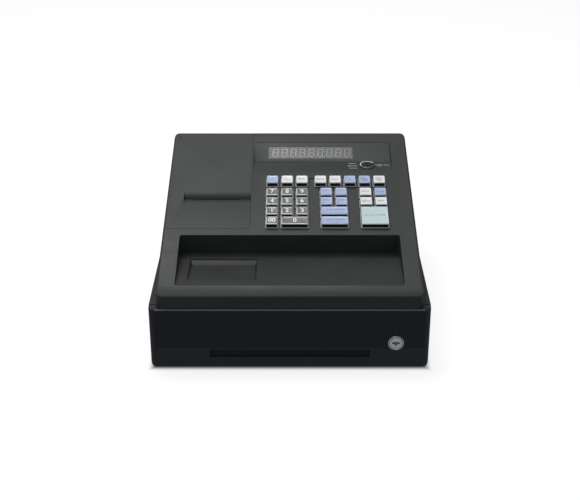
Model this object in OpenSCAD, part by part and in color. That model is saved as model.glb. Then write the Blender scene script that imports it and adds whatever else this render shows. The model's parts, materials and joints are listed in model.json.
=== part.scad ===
// Compact single-drawer cash register.
// Lengths in millimetres, +Z up, front facing -Y.
// Inside the modules y is counted from the drawer front's face and is moved
// back by y_shift, so that the origin is the middle of the footprint at floor level.

/* [Drawer cabinet] */
// Width of the drawer cabinet
cab_w = 330; // [326:1:336]
// Depth of the drawer cabinet behind the drawer front's face
cab_d = 359; // [356:1:366]
// Height of the cabinet's top ledge above the floor
cab_top = 80.5; // [80:0.5:81]
// Radius of the upright corners
cab_r = 8; // [5:0.5:10]
// Thickness of the cabinet walls
cab_wall = 2.7; // [2:0.1:3]
// Height of the rubber feet
foot_h = 3; // [2.5:0.5:3.5]

/* [Upper unit] */
// Width of the upper unit
up_w = 311.2; // [309:0.2:313]
// Slope of the keyboard plane in degrees
slope = 16; // [15:0.5:17]
// Height of the keyboard plane where it meets the front
plane_z = 100.7; // [99.5:0.1:101.5]
// Radius of the crest at the back of the top
crest_r = 8; // [6.5:0.5:8]
// Slope of the rear face in degrees
rear_slope = 50; // [45:1:55]
// Thickness of the upper shells
shell = 2.5; // [2:0.1:2.6]

/* [Keys] */
// Distance between key centres
pitch = 18.8; // [18.6:0.1:19]
// Width of a single key
key_w = 16.5; // [16:0.1:16.6]
// Height of the key tops above the plane
key_h = 6.8; // [6:0.2:8]
// Gap that sets the groups of keys apart
group_gap = 5.1; // [4.5:0.1:5.6]
// Key travel
key_travel = 3; // [2:0.5:3.5]

/* [Tray] */
// Width of the pen and note tray
tray_w = 268; // [260:1:270]
// Height of the tray floor
tray_z = 102.8; // [102:0.1:103.5]

/* [Lock] */
// Distance of the lock from the middle
lock_x = 125; // [115:1:128]
// Height of the lock's centre
lock_z = 35.4; // [34:0.2:37]
// Radius of the lock's ring
lock_r = 9.5; // [9:0.1:10]

/* [Printer] */
// Radius of the paper roll
roll_r = 32; // [24:1:33]
// Width of the paper
paper_w = 57.5; // [56:0.5:58]

/* [Hidden] */

y_shift = 179;                     // from the face-based y to the middle of the footprint
face_t = 12;                       // depth of the drawer front
up_front = 1;                      // front wall of the upper unit
up_back = 348;                     // rear wall of the upper unit
up_bot = 80.9;                     // lower edge of the upper shell
crest_c = [300.3, plane_z + 300.3*tan(slope) - crest_r/cos(slope)];
hinge_c = crest_c;                 // the cover turns about the crest's own centre
cover_x = -49.3;                   // right edge of the printer cover
cheek_x = -147.2;                  // left end of the hinge barrel
cover_s = 115.5;                   // front edge of the printer cover, along the slope
crest_s = 300.3*cos(slope) + (crest_c[1]-plane_z)*sin(slope);

// display recess: crease, panel tilt and shelf tilt
crease = [247.4, 165.7];
panel_a = 24.9;
shelf_a = 4;
rim_slope = 37;                    // slope of the rim in front of the tray
rec_l = -47.3;
rec_r = 134;
win = [-28.4, 84.2, 6.9, 29.1];    // window: left, right, low, high along the panel
mode_p = [102, -10.5];             // mode switch on the shelf, from the crease
mode_r = 10;

// key columns and rows, along x and along the slope
col_n = [-22.05, -22.05+pitch, -22.05+2*pitch];
col_t = [for (i = [0:7]) -22.05 + i*pitch + (i > 2 ? group_gap : 0)];
col_d = [46.1, 46.1+pitch];
col_f = [col_t[6], col_t[7]];
row0 = 123.6;
function row(i) = row0 + i*pitch + (i > 3 ? 5.8 : 0);
// each key: x, slope position, width, length
K = [
  [col_t[0], row(4), key_w, key_w], [col_t[1], row(4), key_w, key_w],
  [col_t[2], row(4), key_w, key_w], [col_t[3], row(4), key_w, key_w],
  [col_t[4], row(4), key_w, key_w], [col_t[5], row(4), key_w, key_w],
  [col_t[6], row(4), key_w, key_w], [col_t[7], row(4), key_w, key_w],
  [col_n[0], row(3), key_w, key_w], [col_n[1], row(3), key_w, key_w],
  [col_n[2], row(3), key_w, key_w], [col_n[0], row(2), key_w, key_w],
  [col_n[1], row(2), key_w, key_w], [col_n[2], row(2), key_w, key_w],
  [col_n[0], row(1), key_w, key_w], [col_n[1], row(1), key_w, key_w],
  [col_n[2], row(1), key_w, key_w], [col_n[0], row(0), key_w, key_w],
  [(col_n[1]+col_n[2])/2, row(0), key_w+pitch, key_w],
  [col_d[0], row(3), key_w, key_w], [col_d[1], row(3), key_w, key_w],
  [col_d[0], row(2), key_w, key_w], [col_d[1], row(2), key_w, key_w],
  [(col_d[0]+col_d[1])/2, row(1), key_w+pitch, key_w],
  [(col_d[0]+col_d[1])/2, row(0), key_w+pitch, key_w],
  [col_f[0], row(3), key_w, key_w], [col_f[1], row(3), key_w, key_w],
  [col_f[0], row(2), key_w, key_w], [col_f[1], row(2), key_w, key_w],
  [(col_f[0]+col_f[1])/2, row(0)+pitch/2, key_w+pitch, key_w+pitch]
];

// ---------- helpers ----------
module at() { translate([0, -y_shift, 0]) children(); }
module on_top() { translate([0, 0, plane_z]) rotate([slope, 0, 0]) children(); }
module on_panel() { translate([0, crease[0], crease[1]]) rotate([panel_a, 0, 0]) children(); }
module on_shelf() { translate([0, crease[0], crease[1]]) rotate([shelf_a, 0, 0]) children(); }
module box(x0, x1, y0, y1, z0, z1) { translate([x0, y0, z0]) cube([x1-x0, y1-y0, z1-z0]); }
module xcyl(r, x0, x1, y, z, fn = 48) {
  translate([x0, y, z]) rotate([0, 90, 0]) cylinder(r = r, h = x1-x0, $fn = fn);
}
module ycyl(r, x, y0, y1, z, fn = 48) {
  translate([x, y1, z]) rotate([90, 0, 0]) cylinder(r = r, h = y1-y0, $fn = fn);
}
// extrude a (y, z) outline along x
module xslab(pts, x0, x1) {
  translate([x0, 0, 0]) rotate([90, 0, 90]) linear_extrude(x1-x0) polygon(pts);
}
module rrect(x0, x1, y0, y1, r) {
  translate([x0+r, y0]) square([x1-x0-2*r, y1-y0]);
  translate([x0, y0+r]) square([x1-x0, y1-y0-2*r]);
  for (x = [x0+r, x1-r], y = [y0+r, y1-r]) translate([x, y]) circle(r, $fn = 48);
}
function isect(p, a1, q, a2) =
  let (d = [cos(a1), sin(a1)], e = [cos(a2), sin(a2)], w = q-p,
       k = (w[0]*e[1]-w[1]*e[0])/(d[0]*e[1]-d[1]*e[0])) p + k*d;
function fillet(pc, ai, ao, r, n = 6) =
  let (d = ao-ai, s = sign(d), tl = r*tan(abs(d)/2),
       st = pc - tl*[cos(ai), sin(ai)], c = st + s*r*[-sin(ai), cos(ai)])
  [for (i = [0:n]) c + s*r*[sin(ai+d*i/n), -cos(ai+d*i/n)]];

// side outline of the upper unit, o millimetres inside the outer surface
rear_q = crest_c + crest_r*[sin(rear_slope), cos(rear_slope)];
function prof(o, zb) =
  let (tp = [0, plane_z - o/cos(slope)],
       fp = [up_front, 96.2] - o*[-sin(rim_slope), cos(rim_slope)],
       rq = rear_q - o*[sin(rear_slope), cos(rear_slope)])
  concat([[up_front+o, zb]],
    fillet(isect([up_front+o, 0], 90, fp, rim_slope), 90, rim_slope, 3-o),
    [isect(fp, rim_slope, tp, slope)],
    fillet(isect(tp, slope, rq, -rear_slope), slope, -rear_slope, crest_r-o),
    fillet(isect(rq, -rear_slope, [up_back-o, 0], 90), -rear_slope, -90, 12-o),
    [[up_back-o, zb]]);
// long bar with rounded upper edges, running along the local y axis
module rounded_bar(hw, r) {
  translate([0, 500, 0]) rotate([90, 0, 0]) linear_extrude(1000) {
    translate([-hw, -300]) square([2*hw, 300-r]);
    translate([-hw+r, -300]) square([2*hw-2*r, 300]);
    for (s = [-1, 1]) translate([s*(hw-r), -r]) circle(r, $fn = 48);
  }
}
module upper_solid(o, zb) {
  hw = up_w/2 - o;
  intersection() {
    xslab(prof(o, zb), -hw, hw);
    translate([0, 0, zb-1]) linear_extrude(130) rrect(-hw, hw, up_front+o, up_back-o, 8-o);
    translate([0, 0, plane_z - o/cos(slope)]) rotate([slope, 0, 0]) rounded_bar(hw, 3-o/2);
    translate([0, rear_q[0]-o*sin(rear_slope), rear_q[1]-o*cos(rear_slope)])
      rotate([-rear_slope, 0, 0]) rounded_bar(hw, 12-o);
  }
}
// space taken by the printer cover: g larger all round, d deep under the top, 9 deep at the left side,
// with round room of radius r about the hinge
module cover_side(s1, d, g) {
  translate([0, plane_z]) rotate(slope) translate([cover_s-g, -d]) square([s1-cover_s+g, 60]);
}
module cover_zone(g, d, r) {
  translate([cheek_x-g, 0, 0]) rotate([90, 0, 90]) linear_extrude(cover_x-cheek_x+2*g) {
    cover_side(crest_s, d, g);
    translate(hinge_c) circle(r, $fn = 48);
  }
  translate([-171, 0, 0]) rotate([90, 0, 90]) linear_extrude(171+cheek_x-g+0.05) difference() {
    cover_side(300, d, g);
    translate(hinge_c) circle(19-g, $fn = 48);
  }
  translate([-172, 0, 0]) rotate([90, 0, 90]) linear_extrude(172-151.2) difference() {
    cover_side(300, 9+g, g);
    translate(hinge_c) circle(19-g, $fn = 48);
  }
}

// ---------- drawer cabinet ----------
module cabinet() {
  hw = cab_w/2;
  at() color([0.13, 0.13, 0.135]) {
    difference() {
      translate([0, 0, foot_h]) linear_extrude(cab_top-foot_h) {
        translate([-hw, face_t+0.6]) square([cab_w, cab_d-face_t-0.6-cab_r]);
        translate([-hw+cab_r, face_t+0.6]) square([cab_w-2*cab_r, cab_d-face_t-0.6]);
        for (s = [-1, 1]) translate([s*(hw-cab_r), cab_d-cab_r]) circle(cab_r, $fn = 48);
      }
      box(-hw+cab_wall, hw-cab_wall, 0, cab_d-cab_wall, foot_h+2, cab_top-2.5);
      // cable opening to the upper unit
      box(-20, 20, 300, 330, 70, 90);
      // ventilation slots in the rear wall
      for (i = [-4:4]) box(i*12-3, i*12+3, cab_d-5, cab_d+1, 52, 68);
    }
    // front lip that the lock's cam catches
    box(-140, 140, 17, 20, 68, cab_top-2.4);
    // guide ribs for the drawer's rails
    for (s = [-1, 1]) box(s > 0 ? 158.6 : -hw+cab_wall-0.1, s > 0 ? hw-cab_wall+0.1 : -158.6, 20, 345, 19.6, 23);
    // lugs of the drawer latch
    for (s = [-1, 1]) difference() {
      box(s > 0 ? 5 : -9, s > 0 ? 9 : -5, 343, 354, foot_h+1.9, 19);
      xcyl(2.56, s > 0 ? 4 : -10, s > 0 ? 10 : -4, 348.5, 14);
    }
  }
}
module feet() {
  at() color([0.07, 0.07, 0.07]) for (x = [-138, 138], y = [34, 326])
    translate([x, y, 0]) rotate_extrude($fn = 48)
      polygon([[0, 0], [8.2, 0], [9, 0.8], [9, foot_h], [0, foot_h]]);
}
module screws() {
  at() color("silver") for (x = [-130, -50, 50, 130]) difference() {
    union() {
      ycyl(3.6, x, up_back, up_back+2, 90, 32);
      ycyl(1.6, x, 336, up_back+0.1, 90, 24);
    }
    box(x-2.4, x+2.4, up_back+0.9, up_back+3, 89.5, 90.5);
    box(x-0.5, x+0.5, up_back+0.9, up_back+3, 87.6, 92.4);
  }
}

// ---------- upper unit ----------
module lower_case() {
  at() color([0.12, 0.12, 0.12]) difference() {
    union() {
      translate([0, 0, cab_top]) linear_extrude(2.6) rrect(-152.4, 152.4, 4.4, 344.6, 5);
      // screw posts at the rear
      for (x = [-130, -50, 50, 130]) box(x-5, x+5, 335, 344.6, cab_top+2.5, 96);
      // cradle of the paper roll
      for (x = [-124.6, -63.0]) {
        box(x, x+2.6, 232, 262, cab_top+2.5, 122);
        xcyl(15, x, x+2.6, 247, 122);
      }
      // posts for the main board
      for (x = [-25, 120], y = [25, 130]) translate([x, y, cab_top+2.5])
        cylinder(r = 3, h = 5, $fn = 32);
    }
    for (x = [-130, -50, 50, 130]) ycyl(1.65, x, 330, 350, 90, 24);
    xcyl(2.56, -130, -60, 247, 122);
    box(-20, 20, 300, 330, 70, 90);
  }
}
module trough_cut() {
  xslab([[174.4, 143.9], [158.2, 146.1], [158.2, 175], [183, 175], [183, 153.2], [176.3, 148.2]], -134, cover_x+1);
}
// walls and ledges inside the upper shell
module top_case_inside() {
  // tray walls and floor, with the thicker floor under the dish
  box(-tray_w/2-2.4, tray_w/2+2.4, 11, 101.6, tray_z-2.4, 140);
  box(-124, -36.6, 24, 89, 95.2, tray_z-1);
  // display recess
  on_panel() box(-48.7, 136.5, -1.5, 40, -2.5, 12);
  on_shelf() box(-48.6, 136.4, -32, 1, -2.4, 12);
  // left hinge cheek and right hinge lug
  intersection() {
    box(-160, cheek_x-0.35, 270, 330, 140, 200);
    xcyl(18.5, -161, cheek_x, hinge_c[0], hinge_c[1]);
  }
  xcyl(7, -50.5, -45, hinge_c[0], hinge_c[1]);
  on_top() {
    box(-48.5, -45.2, crest_s-7, crest_s+4, -9, 1);
    // ledges under the cover's front and right edges
    box(-150, -50, 111.5, 119.5, -5.4, -3.1);
    box(-150.2, -49.8, 111.3, 114.8, -5.5, 1);
    for (s = [[119, 150], [200, 288]]) {
      box(-53, -46.5, s[0], s[1], -5.4, -3.1);
      box(-48.6, -46.3, s[0]-0.2, s[1]+0.2, -5.5, 1);
    }
  }
}
module top_case() {
  at() color([0.3, 0.3, 0.3]) {
    difference() {
      union() {
        upper_solid(0, up_bot);
        // moulded cord outlet
        ycyl(7, -110, up_back-1, up_back+4, 98);
      }
      difference() {
        upper_solid(shell, up_bot-2);
        top_case_inside();
      }
      // tray and dish
      difference() {
        translate([0, 0, tray_z]) linear_extrude(60) rrect(-tray_w/2, tray_w/2, 13.5, 99.2, 3);
        xslab([[96.2, tray_z-0.6], [101, tray_z+2.28], [101, tray_z-0.6]], -140, 140);
      }
      intersection() {
        xslab([[87, tray_z+2], [86.1, 101.4], [80.6, 97.7], [38, 100.6], [28.4, tray_z], [24, tray_z+0.7], [24, tray_z+2]],
          -125, -35);
        translate([0, 20, 0]) rotate([90, 0, 0]) mirror([0, 0, 1]) linear_extrude(70)
          polygon([[-122.6, tray_z+2], [-116.4, 95], [-44.1, 95], [-37.9, tray_z+2]]);
      }
      // display recess
      xslab([[219.7, plane_z+219.7*tan(slope)], crease, [281.4, plane_z+281.4*tan(slope)],
        [281.4, 200], [219.7, 200]], rec_l, rec_r);
      on_panel() box(win[0], win[1], win[2], win[3], -20, 20);
      on_shelf() translate([mode_p[0], mode_p[1], -20]) cylinder(r = 8.5, h = 40, $fn = 48);
      // key openings
      on_top() for (k = K) translate([k[0]-k[2]/2-0.45, k[1]-k[3]/2-0.45, -9])
        cube([k[2]+0.9, k[3]+0.9, 20]);
      // printer opening
      cover_zone(0.35, 2.9, 8.5);
      // rear screws, cord outlet and ventilation
      for (x = [-130, -50, 50, 130]) ycyl(1.8, x, 340, 352, 90, 24);
      ycyl(3.6, -110, 340, 356, 98);
      for (i = [0:11]) box(i*9+20, i*9+24, 340, 352, 100, 122);
    }
    // hinge pins of the cover
    xcyl(2, cheek_x-0.9, cheek_x+6, hinge_c[0], hinge_c[1]);
    xcyl(2, -55.5, -48, hinge_c[0], hinge_c[1]);
  }
}
module printer_cover() {
  at() color([0.31, 0.31, 0.31]) difference() {
    union() {
      intersection() {
        upper_solid(0, up_bot);
        difference() {
          union() {
            cover_zone(0, 8, 4);
            box(-136.5, cover_x-0.2, 152, 178, 135, 150);
          }
          difference() {
            upper_solid(shell, up_bot-2);
            // walls and floor of the paper trough
            xslab([[186.2, 170], [186.2, 151.6], [178.8, 145.9], [177, 141.2], [155, 144.1], [155, 170]], -136.4, -40);
          }
        }
      }
      xcyl(crest_r-0.1, cheek_x+0.2, cover_x+0.12, hinge_c[0], hinge_c[1]);
    }
    trough_cut();
    // paper slot
    box(-122.5, -62.3, 172, 174.3, 136, 148);
    xcyl(2.06, cheek_x-1, cheek_x+7, hinge_c[0], hinge_c[1]);
    xcyl(2.06, -56.5, cover_x+1, hinge_c[0], hinge_c[1]);
  }
}

// ---------- printer ----------
drum_p = [187, 118];
ink_p = [197.6, 106.6];
feed_p = [173, 127];
module printer_frame() {
  at() color([0.62, 0.63, 0.64]) difference() {
    union() {
      box(-128, -56, 152, 208, 83.1, 86);
      for (x = [-128, -58.5]) xslab([[156, 85], [208, 85], [208, 112], [196, 128], [180, 137], [162, 137], [156, 128]], x, x+2.5);
      // paper guide
      box(-125.6, -58.4, 157.5, 159, 100, 136);
    }
    for (p = [drum_p, ink_p, feed_p]) xcyl(2.06, -130, -54, p[0], p[1], 32);
    xcyl(2.4, -60, -54, 176, 100, 32);
  }
}
module type_drum() {
  at() color([0.75, 0.75, 0.76]) {
    xcyl(9, -117, -68, drum_p[0], drum_p[1], 64);
    xcyl(2, -128.5, -116.9, drum_p[0], drum_p[1], 32);
    xcyl(2, -68.1, -55.5, drum_p[0], drum_p[1], 32);
    for (i = [0:11]) xcyl(9.4, -115.5+i*4, -113+i*4, drum_p[0], drum_p[1], 64);
  }
}
module ink_roller() {
  at() color([0.25, 0.15, 0.4]) {
    xcyl(5.8, -117, -68, ink_p[0], ink_p[1]);
    xcyl(2, -128.5, -116.9, ink_p[0], ink_p[1], 32);
    xcyl(2, -68.1, -55.5, ink_p[0], ink_p[1], 32);
  }
}
module feed_roller() {
  at() color([0.1, 0.1, 0.1]) {
    for (x = [-120, -80]) xcyl(6.6, x, x+16, feed_p[0], feed_p[1]);
    xcyl(2, -128.5, -55.3, feed_p[0], feed_p[1], 32);
    // knurled end that a finger can turn
    xcyl(4.5, -55.4, -52, feed_p[0], feed_p[1], 24);
  }
}
module printer_motor() {
  at() color([0.7, 0.7, 0.7]) {
    xcyl(12, -56, -30, 176, 100);
    xcyl(2, -64, -55.9, 176, 100, 32);
    difference() {
      xcyl(5, -70, -64.1, 176, 100, 32);
      for (i = [0:7]) translate([0, 176, 100]) rotate([i*45, 0, 0]) box(-71, -60, 4.2, 6, -0.8, 0.8);
    }
    xcyl(1.9, -64.2, -64, 176, 100, 32);
  }
}
module paper_roll() {
  r0 = -121.3;
  r1 = r0 + paper_w;
  at() color("white") {
    difference() {
      xcyl(roll_r, r0, r1, 247, 122, 96);
      xcyl(6.5, r0-1, r0+1.5, 247, 122);
      xcyl(6.5, r1-1.5, r1+1, 247, 122);
    }
    // spindle
    xcyl(4.5, r0+0.3, r1-0.3, 247, 122);
    xcyl(2.5, -125, -59.2, 247, 122, 32);
  }
}

// ---------- display, mode switch, electronics ----------
module display_window() {
  at() color([0.36, 0.36, 0.37]) on_panel() {
    box(win[0]+0.2, win[1]-0.2, win[2]+0.2, win[3]-0.2, -2.7, -0.4);
    box(win[0]-2.5, win[1]+2.5, win[2]-2, win[3]+2, -3.9, -2.6);
  }
}
module display_board() {
  at() on_panel() {
    color([0.1, 0.35, 0.2]) box(-34, 90, 3, 33, -15.6, -14);
    // eight digit modules
    color([0.15, 0.15, 0.15]) for (i = [0:7]) box(-21.6+i*12.6, -21.6+i*12.6+12.2, 8.5, 27.5, -14.1, -6);
    color("white") box(-12, 12, 28.6, 32, -14.1, -9);
  }
}
module mode_bezel() {
  at() color([0.75, 0.75, 0.76]) on_shelf() translate([mode_p[0], mode_p[1], 0]) difference() {
    union() {
      rotate_extrude($fn = 64) polygon([[5, 0], [mode_r, 0], [mode_r, 0.9], [mode_r-0.8, 1.7], [5, 1.7]]);
      translate([0, 0, -9]) cylinder(r = 8.4, h = 9.1, $fn = 48);
    }
    translate([0, 0, -12]) cylinder(r = 7.7, h = 20, $fn = 48);
  }
}
module mode_rotor() {
  at() color([0.1, 0.1, 0.1]) on_shelf() translate([mode_p[0], mode_p[1], 0]) difference() {
    translate([0, 0, -10.5]) cylinder(r = 7.63, h = 11.6, $fn = 48);
    translate([-4.6, -0.9, -4]) cube([9.2, 1.8, 10]);
    translate([-0.5, 4.6, 0.5]) cube([1, 2.4, 3]);
  }
}
module keyboard_board() {
  at() on_top() {
    color([0.1, 0.35, 0.2]) box(-36, 129, 112, 216, -16.2, -14.6);
    color("white") box(10, 50, 106.5, 112.05, -16.2, -11);
  }
}
module rubber_mat() {
  at() color([0.55, 0.55, 0.56]) on_top() {
    box(-34, 127, 113, 215, -14.5, -13.5);
    for (k = K) translate([k[0], k[1], -13.6]) difference() {
      cylinder(r = 5.6, h = 3.4, $fn = 24);
      translate([0, 0, -1]) cylinder(r = 4.2, h = 6, $fn = 24);
    }
  }
}
module main_board() {
  at() {
    color([0.1, 0.4, 0.2]) box(-32, 127, 18, 137, 88.1, 89.7);
    color([0.1, 0.1, 0.1]) for (p = [[10, 40, 24, 14], [50, 90, 18, 18], [-10, 100, 20, 8], [84, 40, 16, 16]])
      box(p[0], p[0]+p[2], p[1], p[1]+p[3], 89.6, 92.4);
    color("silver") for (p = [[106, 100], [106, 116], [90, 110]])
      translate([p[0], p[1], 89.6]) cylinder(r = 4, h = 9, $fn = 32);
  }
}
module transformer() {
  at() {
    color([0.45, 0.45, 0.47]) difference() {
      box(70, 130, 262, 312, 85, 131);
      for (s = [0, 1]) box(84+s*22, 94+s*22, 261, 313, 97, 119);
    }
    color([0.75, 0.55, 0.2]) difference() {
      box(80, 120, 250, 324, 93, 123);
      box(79.9, 120.1, 261.9, 312.1, 84, 132);
    }
    color("silver") for (s = [-1, 1]) box(s > 0 ? 130 : 58, s > 0 ? 142 : 70, 275, 299, 83.1, 86);
  }
}

// ---------- drawer ----------
module drawer_box() {
  bz = foot_h + 5;
  at() color([0.16, 0.16, 0.165]) {
    difference() {
      union() {
        difference() {
          box(-157, 157, face_t, 326, bz, 62);
          box(-155, 155, face_t+2, 324, bz+2, 70);
        }
        // wall behind the coins, and dividers of the bill compartments
        box(-155.1, 155.1, 126, 128, bz+1.9, 52);
        for (x = [-78, 0, 78]) box(x-1, x+1, 127.9, 324.1, bz+1.9, 50);
        // rails
        for (s = [-1, 1]) box(s > 0 ? 156.9 : -161.4, s > 0 ? 161.4 : -156.9, 16, 322, 23.5, 26.5);
        // lugs of the bill clips
        for (x = [-117, -39, 39, 117], s = [-1, 1])
          box(x+(s > 0 ? 11 : -15), x+(s > 0 ? 15 : -11), 307, 324.1, 47, 58);
      }
      // lock
      ycyl(8.8, lock_x, face_t-1, face_t+3, lock_z);
      for (x = [-117, -39, 39, 117]) xcyl(2.06, x-16, x+16, 312, 53, 32);
    }
    // striker that the latch catches
    difference() {
      box(-10, 10, 325.9, 346, 23, 25.5);
      box(-6, 6, 330.5, 342.5, 22, 27);
    }
  }
}
module drawer_front() {
  hw = cab_w/2;
  z0 = foot_h;
  z1 = cab_top - 0.4;
  at() color([0.1, 0.1, 0.11]) difference() {
    union() {
      difference() {
        intersection() {
          xslab([[0, z0-1], [0, z1-1.5], [1.5, z1], [1.5, z1+1], [face_t, z1+1], [face_t, z0-1]], -hw-1, hw+1);
          translate([0, 0, z0-2]) linear_extrude(z1-z0+4) {
            translate([-hw+cab_r, 0]) square([cab_w-2*cab_r, face_t+8]);
            translate([-hw, cab_r]) square([cab_w, face_t]);
            for (s = [-1, 1]) translate([s*(hw-cab_r), cab_r]) circle(cab_r, $fn = 48);
          }
          translate([0, 30, 0]) rotate([90, 0, 0]) linear_extrude(60) {
            translate([-hw, z0+5]) square([cab_w, z1-z0-6.5]);
            translate([-hw+5, z0]) square([cab_w-10, 10]);
            translate([-hw+1.5, z1-10]) square([cab_w-3, 10]);
            for (s = [-1, 1]) {
              translate([s*(hw-5), z0+5]) circle(5, $fn = 48);
              translate([s*(hw-1.5), z1-1.5]) circle(1.5, $fn = 24);
            }
          }
        }
        // hollow back
        box(-hw+8, hw-8, 3, face_t-2, z0+3, z1-3);
      }
      // finger pull and lock seat
      box(-97, 97, 2, 6, 13.8, 28.3);
      ycyl(lock_r+3, lock_x, 1, face_t, lock_z);
    }
    // finger pull
    box(-94.6, 94.6, -1, 1.8, 16.2, 25.9);
    // lock
    ycyl(8.3, lock_x, -2, face_t+1, lock_z);
    ycyl(lock_r+0.2, lock_x, -2, 1.2, lock_z);
    // fine horizontal grooves
    for (i = [0:17]) box(-hw+6, hw-6, -1, 0.4, 29.4+i*2.7, 30.5+i*2.7);
  }
}
cup_p = concat([[33.5, 52], [33.5, 26]], fillet([33.5, 12.5], -90, 0, 13.5, 5),
  fillet([123, 12.5], 0, 90, 22, 6), [[123, 52]]);
module coin_case() {
  at() color([0.2, 0.2, 0.205]) difference() {
    box(-153.5, 153.5, 31.5, 125.4, 10.4, 46);
    for (i = [0:4]) xslab(cup_p, -151.3+i*60.72, -151.3+i*60.72+58.6);
  }
}
module bill_clip(x) {
  at() color([0.22, 0.22, 0.225]) translate([x, 0, 0]) {
    xcyl(4, -10.6, 10.6, 312, 53);
    xcyl(2, -16, 16, 312, 53, 32);
    xslab([[312, 57], [309, 50], [242, 14.2], [236, 12.6], [231, 15], [232, 17.2], [240, 17.4]], -7, 7);
    // paddle that presses on the notes
    xslab([[243, 15.6], [241, 13.2], [236, 11], [231, 13.2], [229.5, 17], [231.5, 17.6], [237, 15.4]], -24, 24);
  }
}
module bill_clip_1() { bill_clip(-117); }
module bill_clip_2() { bill_clip(-39); }
module bill_clip_3() { bill_clip(39); }
module bill_clip_4() { bill_clip(117); }
module lock_case() {
  at() color([0.85, 0.85, 0.86]) difference() {
    union() {
      // ring around the keyhole face
      translate([lock_x, 1.2, lock_z]) rotate([90, 0, 0]) rotate_extrude($fn = 64)
        polygon([[5, 0], [lock_r, 0], [lock_r, 1.2], [lock_r-0.25, 1.85], [lock_r-0.75, 2.2], [lock_r-1.2, 1.9], [lock_r-1.5, 1.3], [5, 1.3]]);
      ycyl(8.2, lock_x, 1.1, 20, lock_z);
    }
    ycyl(6.06, lock_x, -5, 25, lock_z);
    ycyl(7.9, lock_x, -5, 0.6, lock_z);
  }
}
module lock_barrel() {
  at() color([0.7, 0.7, 0.7]) {
    difference() {
      union() {
        ycyl(6, lock_x, 0.2, 22.1, lock_z);
        ycyl(7.2, lock_x, -0.6, 0.5, lock_z);
      }
      box(lock_x-4.6, lock_x+4.6, -2, 4, lock_z-1.2, lock_z+1.2);
      ycyl(2.3, lock_x, -2, 4, lock_z, 24);
      box(lock_x-0.9, lock_x+0.9, -2, 4, lock_z-4, lock_z);
    }
    // cam, turned sideways while the drawer is unlocked
    difference() {
      union() {
        box(lock_x-38, lock_x, 22, 24.2, lock_z-4.5, lock_z+4.5);
        ycyl(7, lock_x, 22, 24.2, lock_z);
      }
      ycyl(2, lock_x, 21, 22.5, lock_z, 24);
    }
    ycyl(1.9, lock_x, 22, 25.5, lock_z, 24);
  }
}
module drawer_latch() {
  at() color([0.6, 0.6, 0.62]) {
    xcyl(4.4, -4.4, 4.4, 348.5, 14);
    xcyl(2.5, -9.2, 9.2, 348.5, 14, 32);
    box(-3.5, 3.5, 331, 346, 11.5, 16);
    xslab([[331, 15], [336, 15], [336, 20.6], [334.5, 21.2], [331, 19.4]], -3.5, 3.5);
  }
}

// ---------- keys ----------
// clear-capped key: box with a wider foot under the case, and a stem over its rubber dome
module key(i, c) {
  w = K[i][2];
  l = K[i][3];
  at() on_top() translate([K[i][0], K[i][1], 0]) color(c) {
    translate([-w/2, -l/2, -4.2]) cube([w, l, key_h+4.2]);
    translate([-w/2-0.75, -l/2-0.75, -5.6]) cube([w+1.5, l+1.5, 1.5]);
    translate([0, 0, -9.4]) cylinder(r = 3, h = 4, $fn = 32);
  }
}
white_c = [0.95, 0.94, 0.94];
blue_c = [0.66, 0.72, 0.85];
grey_c = [0.5, 0.5, 0.49];
teal_c = [0.8, 0.86, 0.86];
module key_top_1() { key(0, blue_c); }
module key_top_2() { key(1, white_c); }
module key_top_3() { key(2, white_c); }
module key_top_4() { key(3, white_c); }
module key_top_5() { key(4, white_c); }
module key_top_6() { key(5, blue_c); }
module key_top_7() { key(6, blue_c); }
module key_top_8() { key(7, white_c); }
module key_num_7() { key(8, grey_c); }
module key_num_8() { key(9, grey_c); }
module key_num_9() { key(10, grey_c); }
module key_num_4() { key(11, grey_c); }
module key_num_5() { key(12, grey_c); }
module key_num_6() { key(13, grey_c); }
module key_num_1() { key(14, grey_c); }
module key_num_2() { key(15, grey_c); }
module key_num_3() { key(16, grey_c); }
module key_num_00() { key(17, grey_c); }
module key_num_0() { key(18, grey_c); }
module key_dept_1() { key(19, blue_c); }
module key_dept_2() { key(20, blue_c); }
module key_dept_3() { key(21, blue_c); }
module key_dept_4() { key(22, blue_c); }
module key_dept_5() { key(23, blue_c); }
module key_dept_6() { key(24, blue_c); }
module key_fn_1() { key(25, white_c); }
module key_fn_2() { key(26, blue_c); }
module key_fn_3() { key(27, white_c); }
module key_fn_4() { key(28, white_c); }
module key_total() { key(29, teal_c); }

cabinet();
feet();
screws();
lower_case();
top_case();
printer_cover();
printer_frame();
type_drum();
ink_roller();
feed_roller();
printer_motor();
paper_roll();
display_window();
display_board();
mode_bezel();
mode_rotor();
rubber_mat();
keyboard_board();
main_board();
transformer();
drawer_box();
drawer_front();
coin_case();
bill_clip_1();
bill_clip_2();
bill_clip_3();
bill_clip_4();
lock_case();
lock_barrel();
drawer_latch();
key_top_1();
key_top_2();
key_top_3();
key_top_4();
key_top_5();
key_top_6();
key_top_7();
key_top_8();
key_num_7();
key_num_8();
key_num_9();
key_num_4();
key_num_5();
key_num_6();
key_num_1();
key_num_2();
key_num_3();
key_num_00();
key_num_0();
key_dept_1();
key_dept_2();
key_dept_3();
key_dept_4();
key_dept_5();
key_dept_6();
key_fn_1();
key_fn_2();
key_fn_3();
key_fn_4();
key_total();
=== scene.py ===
import json
import math

import bpy
from mathutils import Matrix, Vector


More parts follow.
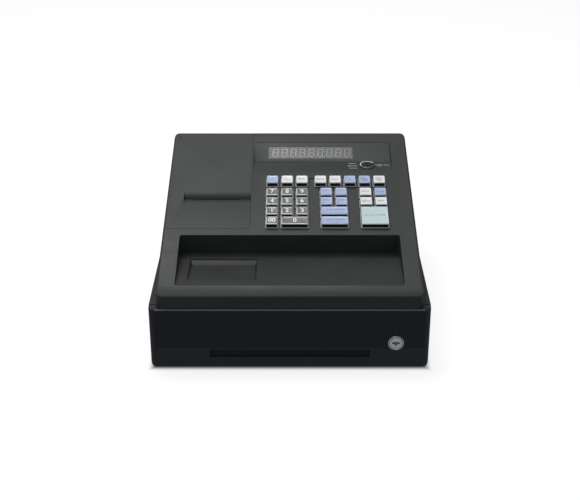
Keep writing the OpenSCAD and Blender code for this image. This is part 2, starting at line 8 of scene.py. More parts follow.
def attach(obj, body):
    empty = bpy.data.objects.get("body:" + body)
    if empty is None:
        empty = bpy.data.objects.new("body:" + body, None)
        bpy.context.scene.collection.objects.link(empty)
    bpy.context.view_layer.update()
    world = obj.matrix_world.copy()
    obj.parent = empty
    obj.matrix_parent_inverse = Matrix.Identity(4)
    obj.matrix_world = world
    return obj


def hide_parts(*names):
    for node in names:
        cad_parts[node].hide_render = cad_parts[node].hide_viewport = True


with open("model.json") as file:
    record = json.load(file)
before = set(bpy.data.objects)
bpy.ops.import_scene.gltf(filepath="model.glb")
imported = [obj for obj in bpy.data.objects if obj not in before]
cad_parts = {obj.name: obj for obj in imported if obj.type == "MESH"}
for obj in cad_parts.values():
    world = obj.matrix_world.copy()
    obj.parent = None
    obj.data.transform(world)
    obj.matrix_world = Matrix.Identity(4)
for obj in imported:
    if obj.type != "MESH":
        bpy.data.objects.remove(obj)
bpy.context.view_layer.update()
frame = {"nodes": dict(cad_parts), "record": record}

nodes = frame["nodes"]
record = frame["record"]
slot_of = {r["node"]: r["material_slot"] for r in record["subparts"]}
body_of = {n: b for b, ns in record["behaviour"]["bodies"].items() for n in ns}
scene = bpy.context.scene
scene.view_settings.view_transform = "Standard"

# ---------------------------------------------------------------- frames of the register, in metres
SLOPE = math.radians(16)
TOP = ((0.0, -0.179, 0.1007), SLOPE)
PANEL = ((0.0, 0.0684, 0.1657), math.radians(24.9))
SHELF = ((0.0, 0.0684, 0.1657), math.radians(4.0))


def local(frame_at):
    o, a = frame_at
    c, s = math.cos(a), math.sin(a)
    return Matrix(((1, 0, 0, o[0]), (0, c, -s, o[1]), (0, s, c, o[2]), (0, 0, 0, 1)))


# ---------------------------------------------------------------- materials
def sock(node, name):
    return node.inputs[name]


def plastic(name, color, rough, vary=0.12, grain=1400.0, bump=0.25, depth=0.00012, patch=22.0,
            rough_vary=0.1, metallic=0.0, spec=0.5, coat=0.0, coat_rough=0.1, alpha=1.0, stretch=None,
            second=None, speck=None, ior=1.5):
    """Moulded or machined surface: colour that varies in patches and in a fine grain, uneven gloss and a fine bump."""
    m = bpy.data.materials.new(name)
    m.use_nodes = True
    nt = m.node_tree
    b = nt.nodes["Principled BSDF"]
    sock(b, "Metallic").default_value = metallic
    sock(b, "Specular IOR Level").default_value = spec
    sock(b, "IOR").default_value = ior
    if coat:
        sock(b, "Coat Weight").default_value = coat
        sock(b, "Coat Roughness").default_value = coat_rough
    if alpha < 1:
        sock(b, "Alpha").default_value = alpha
    tc = nt.nodes.new("ShaderNodeTexCoord")
    mp = nt.nodes.new("ShaderNodeMapping")
    if stretch:
        mp.inputs["Scale"].default_value = stretch
    nt.links.new(tc.outputs["Object"], mp.inputs["Vector"])

    def noise(scale, detail, rough_n):
        n = nt.nodes.new("ShaderNodeTexNoise")
        n.inputs["Scale"].default_value = scale
        n.inputs["Detail"].default_value = detail
        n.inputs["Roughness"].default_value = rough_n
        nt.links.new(mp.outputs["Vector"], n.inputs["Vector"])
        return n

    fine = noise(grain, 2.0, 0.6)
    big = noise(patch, 4.0, 0.55)
    dark = [max(0.0, c * (1 - vary)) for c in color]
    light = [min(1.0, c * (1 + vary)) for c in (second or color)]
    ramp = nt.nodes.new("ShaderNodeValToRGB")
    ramp.color_ramp.elements[0].position = 0.3
    ramp.color_ramp.elements[1].position = 0.7
    ramp.color_ramp.elements[0].color = (*dark, 1)
    ramp.color_ramp.elements[1].color = (*light, 1)
    mixf = nt.nodes.new("ShaderNodeMath")
    mixf.operation = "MULTIPLY_ADD"
    mixf.inputs[1].default_value = 0.55
    nt.links.new(fine.outputs["Fac"], mixf.inputs[0])
    half = nt.nodes.new("ShaderNodeMath")
    half.operation = "MULTIPLY"
    half.inputs[1].default_value = 0.45
    nt.links.new(big.outputs["Fac"], half.inputs[0])
    nt.links.new(half.outputs[0], mixf.inputs[2])
    nt.links.new(mixf.outputs[0], ramp.inputs["Fac"])
    out = ramp.outputs["Color"]
    if speck:
        sp = nt.nodes.new("ShaderNodeTexVoronoi")
        sp.inputs["Scale"].default_value = speck[0]
        nt.links.new(mp.outputs["Vector"], sp.inputs["Vector"])
        lim = nt.nodes.new("ShaderNodeMapRange")
        lim.inputs["From Min"].default_value = 0.0
        lim.inputs["From Max"].default_value = speck[1]
        lim.inputs["To Min"].default_value = speck[2]
        lim.inputs["To Max"].default_value = 0.0
        nt.links.new(sp.outputs["Distance"], lim.inputs["Value"])
        mx = nt.nodes.new("ShaderNodeMix")
        mx.data_type = "RGBA"
        nt.links.new(lim.outputs["Result"], mx.inputs["Factor"])
        nt.links.new(out, mx.inputs["A"])
        mx.inputs["B"].default_value = (*speck[3], 1)
        out = mx.outputs["Result"]
    nt.links.new(out, sock(b, "Base Color"))
    rr = nt.nodes.new("ShaderNodeMapRange")
    rr.inputs["From Min"].default_value = 0.3
    rr.inputs["From Max"].default_value = 0.7
    rr.inputs["To Min"].default_value = max(0.02, rough - rough_vary)
    rr.inputs["To Max"].default_value = min(1.0, rough + rough_vary)
    nt.links.new(big.outputs["Fac"], rr.inputs["Value"])
    nt.links.new(rr.outputs["Result"], sock(b, "Roughness"))
    if bump:
        bp = nt.nodes.new("ShaderNodeBump")
        bp.inputs["Strength"].default_value = bump
        bp.inputs["Distance"].default_value = depth
        nt.links.new(fine.outputs["Fac"], bp.inputs["Height"])
        nt.links.new(bp.outputs["Normal"], sock(b, "Normal"))
    return m


def lin(h):
    """#rrggbb as linear colour."""
    v = [int(h[i:i + 2], 16) / 255 for i in (0, 2, 4)]
    return [x / 12.92 if x <= 0.04045 else ((x + 0.055) / 1.055) ** 2.4 for x in v]


M = {
    "case_plastic": plastic("case_plastic", lin("2e2f2e"), 0.5, vary=0.16, grain=1500, bump=0.3, depth=0.00014,
                            rough_vary=0.05, spec=0.3, speck=(900, 0.28, 0.35, lin("3f3f3f"))),
    "cabinet_plastic": plastic("cabinet_plastic", lin("26272d"), 0.5, vary=0.16, grain=1300, bump=0.35, depth=0.00016,
                               rough_vary=0.06, spec=0.3, speck=(800, 0.25, 0.3, lin("2e2f34"))),
    "drawer_plastic": plastic("drawer_plastic", lin("37383a"), 0.42, vary=0.12, grain=900, bump=0.15, rough_vary=0.1,
                              speck=(160, 0.06, 0.5, lin("4a4a4c"))),
    "coin_plastic": plastic("coin_plastic", lin("4a4b4d"), 0.36, vary=0.12, grain=700, bump=0.12, rough_vary=0.12,
                            stretch=(1, 0.25, 1), speck=(200, 0.05, 0.5, lin("6a6a6c"))),
    "clip_plastic": plastic("clip_plastic", lin("303133"), 0.4, vary=0.1, grain=900, bump=0.1),
    "foot_rubber": plastic("foot_rubber", lin("1b1b1b"), 0.85, vary=0.2, grain=1800, bump=0.5, spec=0.2),
    "screw_steel": plastic("screw_steel", lin("b9babd"), 0.3, metallic=1.0, vary=0.08, grain=900, bump=0.1),
    "sheet_steel": plastic("sheet_steel", lin("a9abae"), 0.34, metallic=1.0, vary=0.1, grain=500, bump=0.12,
                           stretch=(0.15, 1, 1)),
    "printer_metal": plastic("printer_metal", lin("b8b8ba"), 0.26, metallic=1.0, vary=0.08, grain=700, bump=0.1,
                             stretch=(0.1, 1, 1)),
    "ink_felt": plastic("ink_felt", lin("3a2a55"), 0.9, vary=0.25, grain=900, bump=0.8, spec=0.15),
    "roller_rubber": plastic("roller_rubber", lin("222222"), 0.7, vary=0.15, grain=1200, bump=0.4, spec=0.25),
    "paper": plastic("paper", lin("efeeea"), 0.85, vary=0.03, grain=1500, bump=0.15, stretch=(0.05, 1, 1), spec=0.2),
    "window_tint": plastic("window_tint", lin("505153"), 0.3, vary=0.05, grain=1100, bump=0.0, rough_vary=0.03,
                           spec=0.25, speck=(1500, 0.3, 0.3, lin("56575a"))),
    "circuit_board": plastic("circuit_board", lin("1d5a34"), 0.35, vary=0.2, grain=260, bump=0.15,
                             speck=(260, 0.12, 0.7, lin("b9a45a"))),
    "switch_ring": plastic("switch_ring", lin("6f7072"), 0.3, metallic=1.0, vary=0.05, grain=800, bump=0.05),
    "switch_black": plastic("switch_black", lin("19191a"), 0.35, vary=0.1, grain=900, bump=0.1),
    "dome_rubber": plastic("dome_rubber", lin("9b9b9c"), 0.65, vary=0.06, grain=900, bump=0.2, spec=0.3),
    "transformer_iron": plastic("transformer_iron", lin("6a6b70"), 0.5, metallic=0.7, vary=0.15, grain=600, bump=0.4,
                                stretch=(1, 1, 12)),
    "lock_chrome": plastic("lock_chrome", lin("d9d9db"), 0.14, metallic=1.0, vary=0.03, grain=700, bump=0.03,
                           rough_vary=0.05),
    "lock_satin": plastic("lock_satin", lin("e2e1dc"), 0.36, metallic=1.0, vary=0.06, grain=700, bump=0.15,
                          stretch=(1, 1, 0.2)),
    "key_white": plastic("key_white", lin("e4e3e3"), 0.35, vary=0.02, grain=900, bump=0.05, coat=0.6, coat_rough=0.12),
    "key_blue": plastic("key_blue", lin("a3b2d3"), 0.35, vary=0.05, grain=900, bump=0.05, coat=0.6, coat_rough=0.12),
    "key_grey": plastic("key_grey", lin("565653"), 0.35, vary=0.08, grain=900, bump=0.05, coat=0.6, coat_rough=0.12),
    "key_teal": plastic("key_teal", lin("c2d2d3"), 0.35, vary=0.03, grain=900, bump=0.05, coat=0.6, coat_rough=0.12),
}
MX = {
    "cap_side": plastic("cap_side", lin("141415"), 0.25, vary=0.1, grain=900, bump=0.05, rough_vary=0.06, spec=0.4),
    # light bands on the key caps' rims, corners and top edges, and the arc on the mode switch bezel: painted highlight
    "painted_highlight": plastic("painted_highlight", lin("d6d8d8"), 0.22, vary=0.05, grain=900, bump=0.04, rough_vary=0.06, spec=0.6),
    "numeral_white": plastic("numeral_white", lin("f2f2f0"), 0.45, vary=0.02, grain=900, bump=0.0),
    "print_grey": plastic("print_grey", lin("7c8084"), 0.5, vary=0.05, grain=900, bump=0.0),
    "print_slate": plastic("print_slate", lin("7985a0"), 0.5, vary=0.05, grain=900, bump=0.0),
    "print_light": plastic("print_light", lin("a2a2a2"), 0.5, vary=0.05, grain=900, bump=0.0),
    # dark copies shifted under the display segments: painted shadow
    "digit_painted_shadow": plastic("digit_painted_shadow", lin("37323f"), 0.25, vary=0.1, grain=900, bump=0.0, rough_vary=0.03),
    "digit_lit": plastic("digit_lit", lin("6a6a68"), 0.25, vary=0.05, grain=900, bump=0.0, rough_vary=0.03),
    # darker floors of the finger pull and the grooves on the drawer front: painted shade
    "recess_painted_shade": plastic("recess_painted_shade", lin("1d1e24"), 0.7, vary=0.12, grain=900, bump=0.1, spec=0.2),
    # dark lines in the slot behind the top key row and round the display recess: painted shade
    "painted_gap_shade": plastic("painted_gap_shade", lin("141415"), 0.9, vary=0.1, grain=900, bump=0.05, rough_vary=0.03, spec=0.05),
    # light strip on the drawer's top front ledge: painted highlight
    "ledge_painted_highlight": plastic("ledge_painted_highlight", lin("66675f"), 0.5, vary=0.1, grain=900, bump=0.1),
    "copper": plastic("copper", lin("b3703d"), 0.35, metallic=0.9, vary=0.15, grain=500, bump=0.4, stretch=(1, 1, 8)),
    "tape": plastic("tape", lin("c9a24a"), 0.45, vary=0.1, grain=300, bump=0.2),
    "chip": plastic("chip", lin("1c1c1d"), 0.55, vary=0.1, grain=600, bump=0.2),
}

SOFT = {  # rounded edges of the moulded and sheet parts, in metres
    "cabinet": 0.0006, "lower_case": 0.0005, "top_case": 0.0006, "printer_cover": 0.0004, "drawer_box": 0.0005,
    "drawer_front": 0.00025, "coin_case": 0.0007, "printer_frame": 0.0003, "display_window": 0.00025,
    "mode_rotor": 0.0002, "mode_bezel": 0.0002, "lock_case": 0.0002, "lock_barrel": 0.0002, "drawer_latch": 0.0003,
    "feet": 0.0004, "screws": 0.0002, "bill_clip_1": 0.0004, "bill_clip_2": 0.0004, "bill_clip_3": 0.0004,
    "bill_clip_4": 0.0004, "transformer": 0.0004, "printer_motor": 0.0003, "type_drum": 0.0002, "feed_roller": 0.0003,
}


def round_edges(o, width, seg=2):
    w = o.modifiers.new("weld", "WELD")
    w.merge_threshold = 2e-6
    if width:
        b = o.modifiers.new("bevel", "BEVEL")
        b.width = width
        b.segments = seg
        b.limit_method = "ANGLE"
        b.angle_limit = math.radians(32)
        b.use_clamp_overlap = True
        b.harden_normals = False
    n = o.modifiers.new("normals", "WEIGHTED_NORMAL")
    n.mode = "FACE_AREA"
    n.weight = 60
    n.keep_sharp = False


for name, o in nodes.items():
    o.data.materials.clear()
    o.data.materials.append(M[slot_of[name]])
    o.data.polygons.foreach_set("use_smooth", [True] * len(o.data.polygons))
    if name in SOFT:
        if "custom_normal" in o.data.attributes:
            o.data.attributes.remove(o.data.attributes["custom_normal"])
        round_edges(o, SOFT[name])


# ---------------------------------------------------------------- building pieces
def piece(name, verts, faces, mats, which, at, smooth=True, sharp=35):
    me = bpy.data.meshes.new(name)
    me.from_pydata([tuple(at @ Vector(v)) for v in verts], [], faces)
    for m in mats:
        me.materials.append(m)
    me.polygons.foreach_set("material_index", which)
    me.polygons.foreach_set("use_smooth", [smooth] * len(faces))
    me.update()
    if smooth:
        me.set_sharp_from_angle(angle=math.radians(sharp))
    o = bpy.data.objects.new(name, me)
    scene.collection.objects.link(o)
    return o


def ring(hw, hl, r, z, seg=4, cx=0.0, cy=0.0):
    pts = []
    for i, (sx, sy) in enumerate(((1, 1), (-1, 1), (-1, -1), (1, -1))):
        for k in range(seg + 1):
            a = math.radians(90 * i + 90 * k / seg)
            pts.append((cx + sx * (hw - r) + r * math.cos(a), cy + sy * (hl - r) + r * math.sin(a), z))
    return pts


class Build:
    """Collects rings, boxes and outlines into one mesh with a material for each face."""

    def __init__(self):
        self.v, self.f, self.m = [], [], []

    def loft(self, rings, mats, bottom=None, top=None, corner=None, seg=4, front=None):
        base, n = len(self.v), len(rings[0])
        for r in rings:
            self.v += r
        for i in range(len(rings) - 1):
            for k in range(n):
                a, b = base + i * n + k, base + i * n + (k + 1) % n
                self.f.append((a, b, b + n, a + n))
                is_corner = corner is not None and (k % (seg + 1)) < seg
                is_front = front is not None and front[i] is not None and 2 * (seg + 1) < k + 2 < 3 * (seg + 1) + 3
                self.m.append(front[i] if is_front else corner[i] if is_corner and corner[i] is not None else mats[i])
        if bottom is not None:
            self.f.append(tuple(base + k for k in reversed(range(n))))
            self.m.append(bottom)
        if top is not None:
            t = base + (len(rings) - 1) * n
            self.f.append(tuple(t + k for k in range(n)))
            self.m.append(top)

    def bar(self, x0, x1, y0, y1, z0, z1, mat, r=None):
        """A flat printed or moulded bar with rounded ends and a softened top."""
        hw, hl = (x1 - x0) / 2, (y1 - y0) / 2
        r = min(hw, hl) * 0.98 if r is None else min(r, hw * 0.98, hl * 0.98)
        cx, cy = (x0 + x1) / 2, (y0 + y1) / 2
        e = min(hw, hl) * 0.12
        t = (z1 - z0) * 0.6
        self.loft([ring(hw, hl, r, z0, 3, cx, cy), ring(hw, hl, r, z0 + t, 3, cx, cy),
                   ring(hw - e, hl - e, max(r - e, 1e-6), z1, 3, cx, cy)],
                  [mat, mat], bottom=mat, top=mat, seg=3)

    def outline(self, pts, z0, z1, mat):
        n, base = len(pts), len(self.v)
        self.v += [(x, y, z0) for x, y in pts] + [(x, y, z1) for x, y in pts]
        self.f.append(tuple(base + n + k for k in range(n)))
        self.f.append(tuple(base + k for k in reversed(range(n))))
        self.m += [mat, mat]
        for k in range(n):
            a, b = base + k, base + (k + 1) % n
            self.f.append((a, b, b + n, a + n))
            self.m.append(mat)

    def box(self, x0, x1, y0, y1, z0, z1, mat):
        self.outline([(x0, y0), (x1, y0), (x1, y1), (x0, y1)], z0, z1, mat)

    def marks(self, x0, x1, cy, h, z0, z1, mat, seed):
        """A row of small meaningless strokes that stands for a printed word."""
        t = 0.16 * h
        cell = 0.62 * h
        n = max(1, int((x1 - x0 + 0.3 * h) / (cell + 0.3 * h)))
        step = (x1 - x0 + 0.3 * h) / n
        for i in range(n):
            k = (seed * 7 + i * 5) % 6
            a, e = x0 + i * step, x0 + i * step + cell
            y0, y1 = cy - h / 2, cy + h / 2
            self.box(a, a + t, y0, y1, z0, z1, mat)
            if k in (0, 2, 3, 5):
                self.box(e - t, e, y0 + (0.45 * h if k == 3 else 0), y1, z0, z1, mat)
            if k in (0, 1, 3, 4):
                self.box(a + t, e - t, y1 - t, y1, z0, z1, mat)
            if k in (1, 2, 3, 5):
                self.box(a + t, e - t, cy - t / 2, cy + t / 2, z0, z1, mat)
            if k in (0, 1, 4):
                self.box(a + t, e - t, y0, y0 + t, z0, z1, mat)

    def text(self, body, size, cx, cy, z, thick, mat, squeeze=1.0, heavy=0.0):
        cu = bpy.data.curves.new("numeral", "FONT")
        cu.body = body
        cu.size = size
        cu.align_x = "CENTER"
        cu.align_y = "CENTER"
        cu.extrude = thick / 2
        cu.offset = heavy
        cu.resolution_u = 4
        ob = bpy.data.objects.new("numeral", cu)
        scene.collection.objects.link(ob)
        bpy.context.view_layer.update()
        me = bpy.data.meshes.new_from_object(ob.evaluated_get(bpy.context.evaluated_depsgraph_get()))
        base = len(self.v)
        xs = [v.co.x for v in me.vertices]
        ys = [v.co.y for v in me.vertices]
        mx, my = (min(xs) + max(xs)) / 2, (min(ys) + max(ys)) / 2
        self.v += [((v.co.x - mx) * squeeze + cx, v.co.y - my + cy, v.co.z + z) for v in me.vertices]
        for p in me.polygons:
            self.f.append(tuple(base + i for i in p.vertices))
            self.m.append(mat)
        bpy.data.objects.remove(ob)
        bpy.data.curves.remove(cu)
        bpy.data.meshes.remove(me)

    def make(self, name, mats, at, sharp=35):
        return piece(name, self.v, self.f, mats, self.m, at, sharp=sharp)


mm = 0.001
top_at = local(TOP)
to_top = top_at.inverted()


# ---------------------------------------------------------------- keys
def key_box(node):
    pts = [to_top @ v.co for v in nodes[node].data.vertices]
    cap = [p for p in pts if p.z > -0.0038]
    return (min(p.x for p in cap), max(p.x for p in cap), min(p.y for p in cap), max(p.y for p in cap),
            max(p.z for p in cap))


NUMERAL = {"key_num_7": "7", "key_num_8": "8", "key_num_9": "9", "key_num_4": "4", "key_num_5": "5",
           "key_num_6": "6", "key_num_1": "1", "key_num_2": "2", "key_num_3": "3", "key_num_00": "00",
           "key_num_0": "0"}
# short printed lines that stand for the legends: (from, to, along) in shares of the key's half sizes
LEGEND = {
    "key_top_1": [(-0.12, 0.12, 0.12), (-0.12, 0.12, -0.18)],
    "key_top_2": [(-0.3, 0.0, 0.28), (-0.42, 0.42, -0.14)],
    "key_top_3": [(-0.5, 0.5, 0.02)],
    "key_top_4": [(-0.62, 0.62, -0.04)],
    "key_top_5": [(-0.48, 0.48, -0.04)],
    "key_top_6": [(-0.1, 0.1, -0.02)],
    "key_top_7": [(-0.55, 0.25, 0.2), (-0.3, 0.5, -0.2)],
    "key_top_8": [(-0.62, 0.62, 0.28), (-0.5, 0.55, -0.05), (-0.35, 0.3, -0.36)],
    "key_fn_1": [(-0.55, 0.55, 0.0)],
    "key_fn_2": [(-0.6, -0.2, -0.12), (0.0, 0.6, -0.12)],
    "key_fn_3": [(-0.15, 0.2, 0.3), (-0.62, 0.6, -0.1)],
    "key_fn_4": [(-0.5, 0.5, 0.0)],
    "key_dept_1": [(-0.4, 0.4, 0.2)],
    "key_dept_2": [(-0.4, 0.4, 0.2)],
    "key_dept_3": [(-0.5, 0.5, 0.2), (-0.6, -0.35, -0.5)],
    "key_dept_4": [(-0.5, 0.5, 0.2), (-0.6, -0.35, -0.5)],
    "key_dept_5": [(-0.62, -0.1, 0.2), (0.05, 0.7, 0.2), (-0.8, -0.68, -0.5)],
    "key_dept_6": [(-0.62, -0.1, 0.2), (0.05, 0.7, 0.2), (-0.8, -0.68, -0.5)],
    "key_total": [(-0.68, -0.42, 0.02), (-0.34, -0.04, 0.02), (0.04, 0.3, 0.02), (0.38, 0.7, 0.02)],
}

for node in sorted(n for n in nodes if n.startswith("key_")):
    x0, x1, s0, s1, top = key_box(node)
    cx, cy, w, l = (x0 + x1) / 2, (s0 + s1) / 2, (x1 - x0) / 2, (s1 - s0) / 2
    b = Build()
    SIDE, HIGHLIGHT, FACE, PRINT = 0, 1, 2, 3

    def rg(inset, z, r):
        return ring(w - inset * mm, l - inset * mm, r * mm, z, 4, cx, cy)

    # cap: dark walls seen through the clear side, painted highlights on the lower rim, corners and upper edge, coloured
    # insert with a shallow dish
    b.loft(
        [rg(0, -4.15 * mm, 1.1), rg(0.0, 0.35 * mm, 1.1), rg(0.12, 0.8 * mm, 1.1), rg(0.5, 1.15 * mm, 1.1),
         rg(0.85, top - 1.35 * mm, 1.3), rg(0.9, top - 0.95 * mm, 1.4), rg(1.05, top - 0.42 * mm, 1.5),
         rg(1.3, top - 0.12 * mm, 1.5), rg(1.7, top, 1.5), rg(2.2, top - 0.02 * mm, 1.5), rg(3.0, top - 0.14 * mm, 1.6),
         rg(4.6, top - 0.24 * mm, 1.4)],
        [SIDE, HIGHLIGHT, HIGHLIGHT, SIDE, HIGHLIGHT, HIGHLIGHT, HIGHLIGHT if node in NUMERAL else FACE, FACE, FACE, FACE, FACE],
        bottom=SIDE, top=FACE, corner=[None, None, None, HIGHLIGHT] + [None] * 7,
        front=[None] * 7 + [HIGHLIGHT, HIGHLIGHT, None, None] if node in NUMERAL else None)
    # foot flange under the case and the stem over the dome
    b.loft([rg(-0.75, -5.6 * mm, 1.2), rg(-0.75, -4.1 * mm, 1.2)], [SIDE], bottom=SIDE, top=SIDE)
    st = [[(cx + 3 * mm * math.cos(math.tau * k / 20), cy + 3 * mm * math.sin(math.tau * k / 20), z) for k in range(20)]
          for z in (-9.4 * mm, -5.5 * mm)]
    b.loft(st, [SIDE], bottom=SIDE, top=SIDE)
    face_z = top - 0.24 * mm
    if node in NUMERAL:
        b.text(NUMERAL[node], 0.0098, cx, cy, face_z + 0.04 * mm, 0.1 * mm, PRINT,
               squeeze=0.95, heavy=0.00012)
        ink = MX["numeral_white"]
    else:
        for row, (a, e, along) in enumerate(LEGEND.get(node, [])):
            flat = abs(along) <= 0.3 and max(abs(a), abs(e)) <= 0.45
            b.marks(cx + a * w, cx + e * w, cy + along * l, (1.9 if len(LEGEND[node]) < 3 else 1.5) * mm,
                    face_z - 0.05 * mm, face_z + 0.1 * mm if flat else top + 0.02 * mm, PRINT,
                    len(node) + row + int(cx * 1000))
        ink = MX["print_slate"] if slot_of[node] == "key_blue" else MX["print_grey"]
    o = b.make("cap_" + node[4:], [MX["cap_side"], MX["painted_highlight"], M[slot_of[node]], ink], top_at)
    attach(o, body_of[node])
    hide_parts(node)

# ---------------------------------------------------------------- small fixed details
# dark bar at the back of the top key row: painted shade in the slot
b = Build()
b.bar(24.2 * mm, 30.8 * mm, 212.4 * mm, 214.6 * mm, -0.02 * mm, 0.05 * mm, 0, r=0.3 * mm)
o = b.make("row_slot_shade", [MX["painted_gap_shade"]], top_at)
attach(o, body_of["top_case"])

# dark lines along the top, crease and right edges of the display recess: painted shade
b = Build()
for x0, x1, y0, y1 in ((-46.6, 133.4, 36.8, 37.35), (-46.6, 133.4, 0.15, 0.6), (133.0, 133.6, 0.6, 36.8)):
    b.box(x0 * mm, x1 * mm, y0 * mm, y1 * mm, -0.02 * mm, 0.03 * mm, 0)
o = b.make("panel_edge_shade", [MX["painted_gap_shade"]], local(PANEL))
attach(o, body_of["top_case"])

rib_at = local(((0.0, 0.004, 0.1532), math.atan2(5.0, 6.7)))
b = Build()
for i in range(40):
    x = -131.6 + 2.05 * i
    b.bar(x * mm, (x + 0.95) * mm, -5.2 * mm, -0.9 * mm, -0.05 * mm, 0.22 * mm, 0)
o = b.make("paper_ribs", [M["case_plastic"]], rib_at)
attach(o, body_of["printer_cover"])

# drawer front: painted shade on the floor of the finger pull and of the grooves, in (x, z) with y towards the operator
face_at = Matrix(((1, 0, 0, 0), (0, 0, -1, -0.179), (0, 1, 0, 0), (0, 0, 0, 1)))
b = Build()
b.box(-94.5 * mm, 94.5 * mm, 16.3 * mm, 25.8 * mm, -1.82 * mm, -1.74 * mm, 0)
for i in range(18):
    b.box(-158.9 * mm, 158.9 * mm, (29.45 + i * 2.7) * mm, (30.45 + i * 2.7) * mm, -0.42 * mm, -0.34 * mm, 0)
o = b.make("front_recess_shade", [MX["recess_painted_shade"]], face_at)
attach(o, body_of["drawer_front"])

# light strip along the drawer's top front ledge under the upper unit: painted highlight
b = Build()
for x0, x1 in [(-157.5, 157.5)]:
    base = len(b.v)
    b.v += [(x * mm, y * mm, z * mm) for x in (x0, x1) for y, z in
            ((-179 + 0.12, 78.74), (-179 + 1.25, 79.94), (-179 + 1.6, 79.9), (-179 + 0.5, 78.7))]
    b.f += [(base, base + 1, base + 5, base + 4), (base + 1, base + 2, base + 6, base + 5),
            (base + 2, base + 3, base + 7, base + 6), (base + 3, base, base + 4, base + 7),
            (base + 3, base + 2, base + 1, base), (base + 4, base + 5, base + 6, base + 7)]
    b.m += [0] * 6
o = b.make("drawer_top_highlight", [MX["ledge_painted_highlight"]], Matrix.Identity(4))
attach(o, body_of["drawer_front"])

# ---------------------------------------------------------------- display digits
panel_at = local(PANEL)
b = Build()


def seg_bar(x, y, dx, dy, along, mat, t=0.62 * mm, tall=0.06 * mm, z=-0.43 * mm):
    """One display segment: a pointed bar along x or y."""
    if along == "x":
        p = [(x, y), (x + t, y - t), (x + dx - t, y - t), (x + dx, y), (x + dx - t, y + t), (x + t, y + t)]
    else:
        p = [(x, y), (x + t, y + t), (x + t, y + dy - t), (x, y + dy), (x - t, y + dy - t), (x - t, y + t)]
    slant = 0.09
    b.outline([(px + (py - 18 * mm) * slant, py) for px, py in p], z, z + tall, mat)


DIG = {"0": "abcdef", "8": "abcdefg", "-": "g"}
shown = "000000000"
n_dig = 9
pitch = 11.9 * mm
for i in range(n_dig):
    dx0 = -22.2 * mm + i * pitch
    wdt, hgt, y0 = 6.6 * mm, 6.6 * mm, 11.4 * mm
    segs = {
        "d": (dx0, y0, wdt, 0, "x"), "g": (dx0, y0 + hgt, wdt, 0, "x"), "a": (dx0, y0 + 2 * hgt, wdt, 0, "x"),
        "e": (dx0, y0, 0, hgt, "y"), "f": (dx0, y0 + hgt, 0, hgt, "y"),
        "c": (dx0 + wdt, y0, 0, hgt, "y"), "b": (dx0 + wdt, y0 + hgt, 0, hgt, "y"),
    }
    for k, a in segs.items():
        # a wider dark copy shifted right and down under each segment is a painted shadow; the narrow light copy on top
        # is the segment
        seg_bar(a[0] + 0.35 * mm, a[1] - 0.45 * mm, *a[2:], 0, t=0.75 * mm, tall=0.04 * mm)
        if k != "g" or i in (0, 3, 4, 7):
            seg_bar(*a, 1, t=0.4 * mm, tall=0.07 * mm)
    cxp, cyp = dx0 + wdt + 2.4 * mm, y0 - 0.2 * mm
    b.outline([(cxp + 0.7 * mm * math.cos(math.tau * j / 12), cyp + 0.7 * mm * math.sin(math.tau * j / 12))
               for j in range(12)], -0.43 * mm, -0.37 * mm, 1)
digits = b.make("display_digits", [MX["digit_painted_shadow"], MX["digit_lit"]], panel_at)
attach(digits, body_of["display_window"])

# ---------------------------------------------------------------- marks beside the mode switch, with a painted highlight on its bezel
shelf_at = local(SHELF)
b = Build()
mx, my = 102 * mm, -10.5 * mm
for k, (a, e, y) in enumerate(((-24.5, -14.5, 6.2), (-26.0, -13.0, -0.6), (-24.0, -13.5, -7.2))):
    b.bar(mx + a * mm, mx + e * mm, my + (y - 0.75) * mm, my + (y + 0.75) * mm, -0.01 * mm, 0.06 * mm, 0)
for a, e, y in ((9.6, 13.6, 3.6), (15.0, 20.0, 3.6), (21.2, 28.5, 2.2), (12.6, 19.0, -0.2)):
    b.bar(mx + a * mm, mx + e * mm, my + (y - 0.7) * mm, my + (y + 0.7) * mm, -0.01 * mm, 0.06 * mm, 0)
# light arc round the back and left of the switch bezel: painted highlight
arc = [(a, 8.6, 9.9) for a in range(35, 206, 10)]
b.outline([(mx + ro * mm * math.cos(math.radians(a)), my + ro * mm * math.sin(math.radians(a))) for a, ri, ro in arc]
          + [(mx + ri * mm * math.cos(math.radians(a)), my + ri * mm * math.sin(math.radians(a)))
             for a, ri, ro in reversed(arc)], 1.5 * mm, 2.0 * mm, 1)
marks = b.make("switch_marks_and_highlight", [MX["print_light"], MX["painted_highlight"]], shelf_at)
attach(marks, body_of["mode_bezel"])

# ---------------------------------------------------------------- camera, floor, light
cam = bpy.data.objects.new("camera", bpy.data.cameras.new("camera"))
scene.collection.objects.link(cam)
cam.data.sensor_width = 36.0
cam.data.lens = 36.0 * 1138.9 / 580.0
cam.location = (0.00034, -1.3364, 0.7198)
cam.rotation_euler = (math.radians(64.07), 0.0, 0.0)
cam.data.clip_start = 0.05
cam.data.clip_end = 60.0
scene.camera = cam

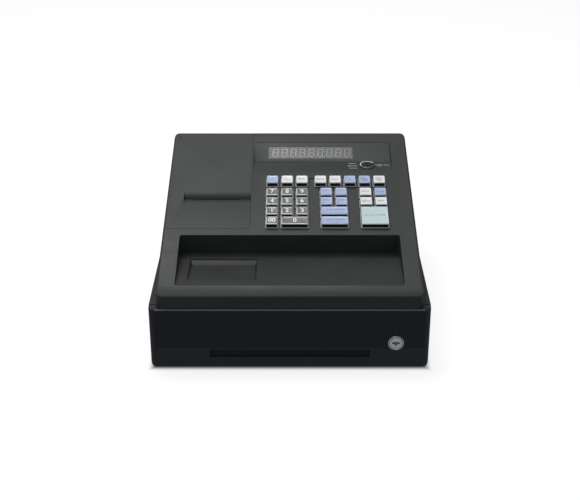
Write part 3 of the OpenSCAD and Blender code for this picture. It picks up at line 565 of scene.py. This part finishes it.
me = bpy.data.meshes.new("floor")
me.from_pydata([(-6, -6, 0), (6, -6, 0), (6, 6, 0), (-6, 6, 0)], [], [(0, 1, 2, 3)])
floor = bpy.data.objects.new("floor", me)
scene.collection.objects.link(floor)
fm = bpy.data.materials.new("floor")
fm.use_nodes = True
fb = fm.node_tree.nodes["Principled BSDF"]
fb.inputs["Base Color"].default_value = (0.26, 0.26, 0.26, 1)
fb.inputs["Roughness"].default_value = 0.9
fb.inputs["Specular IOR Level"].default_value = 0.0
fb.inputs["Emission Color"].default_value = (1, 1, 1, 1)
fb.inputs["Emission Strength"].default_value = 0.8
# the floor's emission is lowest under the register's footprint and rises to full within 7 mm outside it: a painted
# contact shadow
fc = fm.node_tree.nodes.new("ShaderNodeTexCoord")
fs = fm.node_tree.nodes.new("ShaderNodeSeparateXYZ")
fm.node_tree.links.new(fc.outputs["Object"], fs.inputs[0])
away = []
for axis, mid, half in (("X", 0.0, 0.163), ("Y", 0.0005, 0.178)):
    sub = fm.node_tree.nodes.new("ShaderNodeMath")
    sub.operation = "SUBTRACT"
    sub.inputs[1].default_value = mid
    fm.node_tree.links.new(fs.outputs[axis], sub.inputs[0])
    ab = fm.node_tree.nodes.new("ShaderNodeMath")
    ab.operation = "ABSOLUTE"
    fm.node_tree.links.new(sub.outputs[0], ab.inputs[0])
    out = fm.node_tree.nodes.new("ShaderNodeMath")
    out.operation = "SUBTRACT"
    out.inputs[1].default_value = half
    fm.node_tree.links.new(ab.outputs[0], out.inputs[0])
    away.append(out)
far = fm.node_tree.nodes.new("ShaderNodeMath")
far.operation = "MAXIMUM"
fm.node_tree.links.new(away[0].outputs[0], far.inputs[0])
fm.node_tree.links.new(away[1].outputs[0], far.inputs[1])
floor_emission_with_painted_shadow = fm.node_tree.nodes.new("ShaderNodeMapRange")
floor_emission_with_painted_shadow.interpolation_type = "SMOOTHSTEP"
floor_emission_with_painted_shadow.inputs["From Min"].default_value = -0.004
floor_emission_with_painted_shadow.inputs["From Max"].default_value = 0.007
floor_emission_with_painted_shadow.inputs["To Min"].default_value = 0.05
floor_emission_with_painted_shadow.inputs["To Max"].default_value = 0.82
fm.node_tree.links.new(far.outputs[0], floor_emission_with_painted_shadow.inputs["Value"])
fm.node_tree.links.new(floor_emission_with_painted_shadow.outputs["Result"], fb.inputs["Emission Strength"])
me.materials.append(fm)
floor.visible_diffuse = False
floor.visible_glossy = False


def softbox(name, at, aim, size, size_y, power):
    d = bpy.data.lights.new(name, "AREA")
    d.shape = "RECTANGLE"
    d.size, d.size_y = size, size_y
    d.energy = power
    o = bpy.data.objects.new(name, d)
    scene.collection.objects.link(o)
    o.location = at
    o.rotation_mode = "QUATERNION"
    o.rotation_quaternion = (Vector(aim) - Vector(at)).to_track_quat("-Z", "Y")
    return o


softbox("key", (-0.3, 0.35, 2.0), (0, 0, 0.1), 1.2, 0.9, 27)
softbox("back", (-0.7, 1.35, 1.9), (0, 0.1, 0.15), 1.5, 0.9, 2.5)
softbox("front", (-0.3, -1.7, 1.8), (0, 0, 0.1), 1.0, 0.6, 2.5)

world = bpy.data.worlds.new("world")
scene.world = world
world.use_nodes = True
wb = world.node_tree.nodes["Background"]
wb.inputs["Color"].default_value = (0.88, 0.94, 1.0, 1)
wb.inputs["Strength"].default_value = 0.31
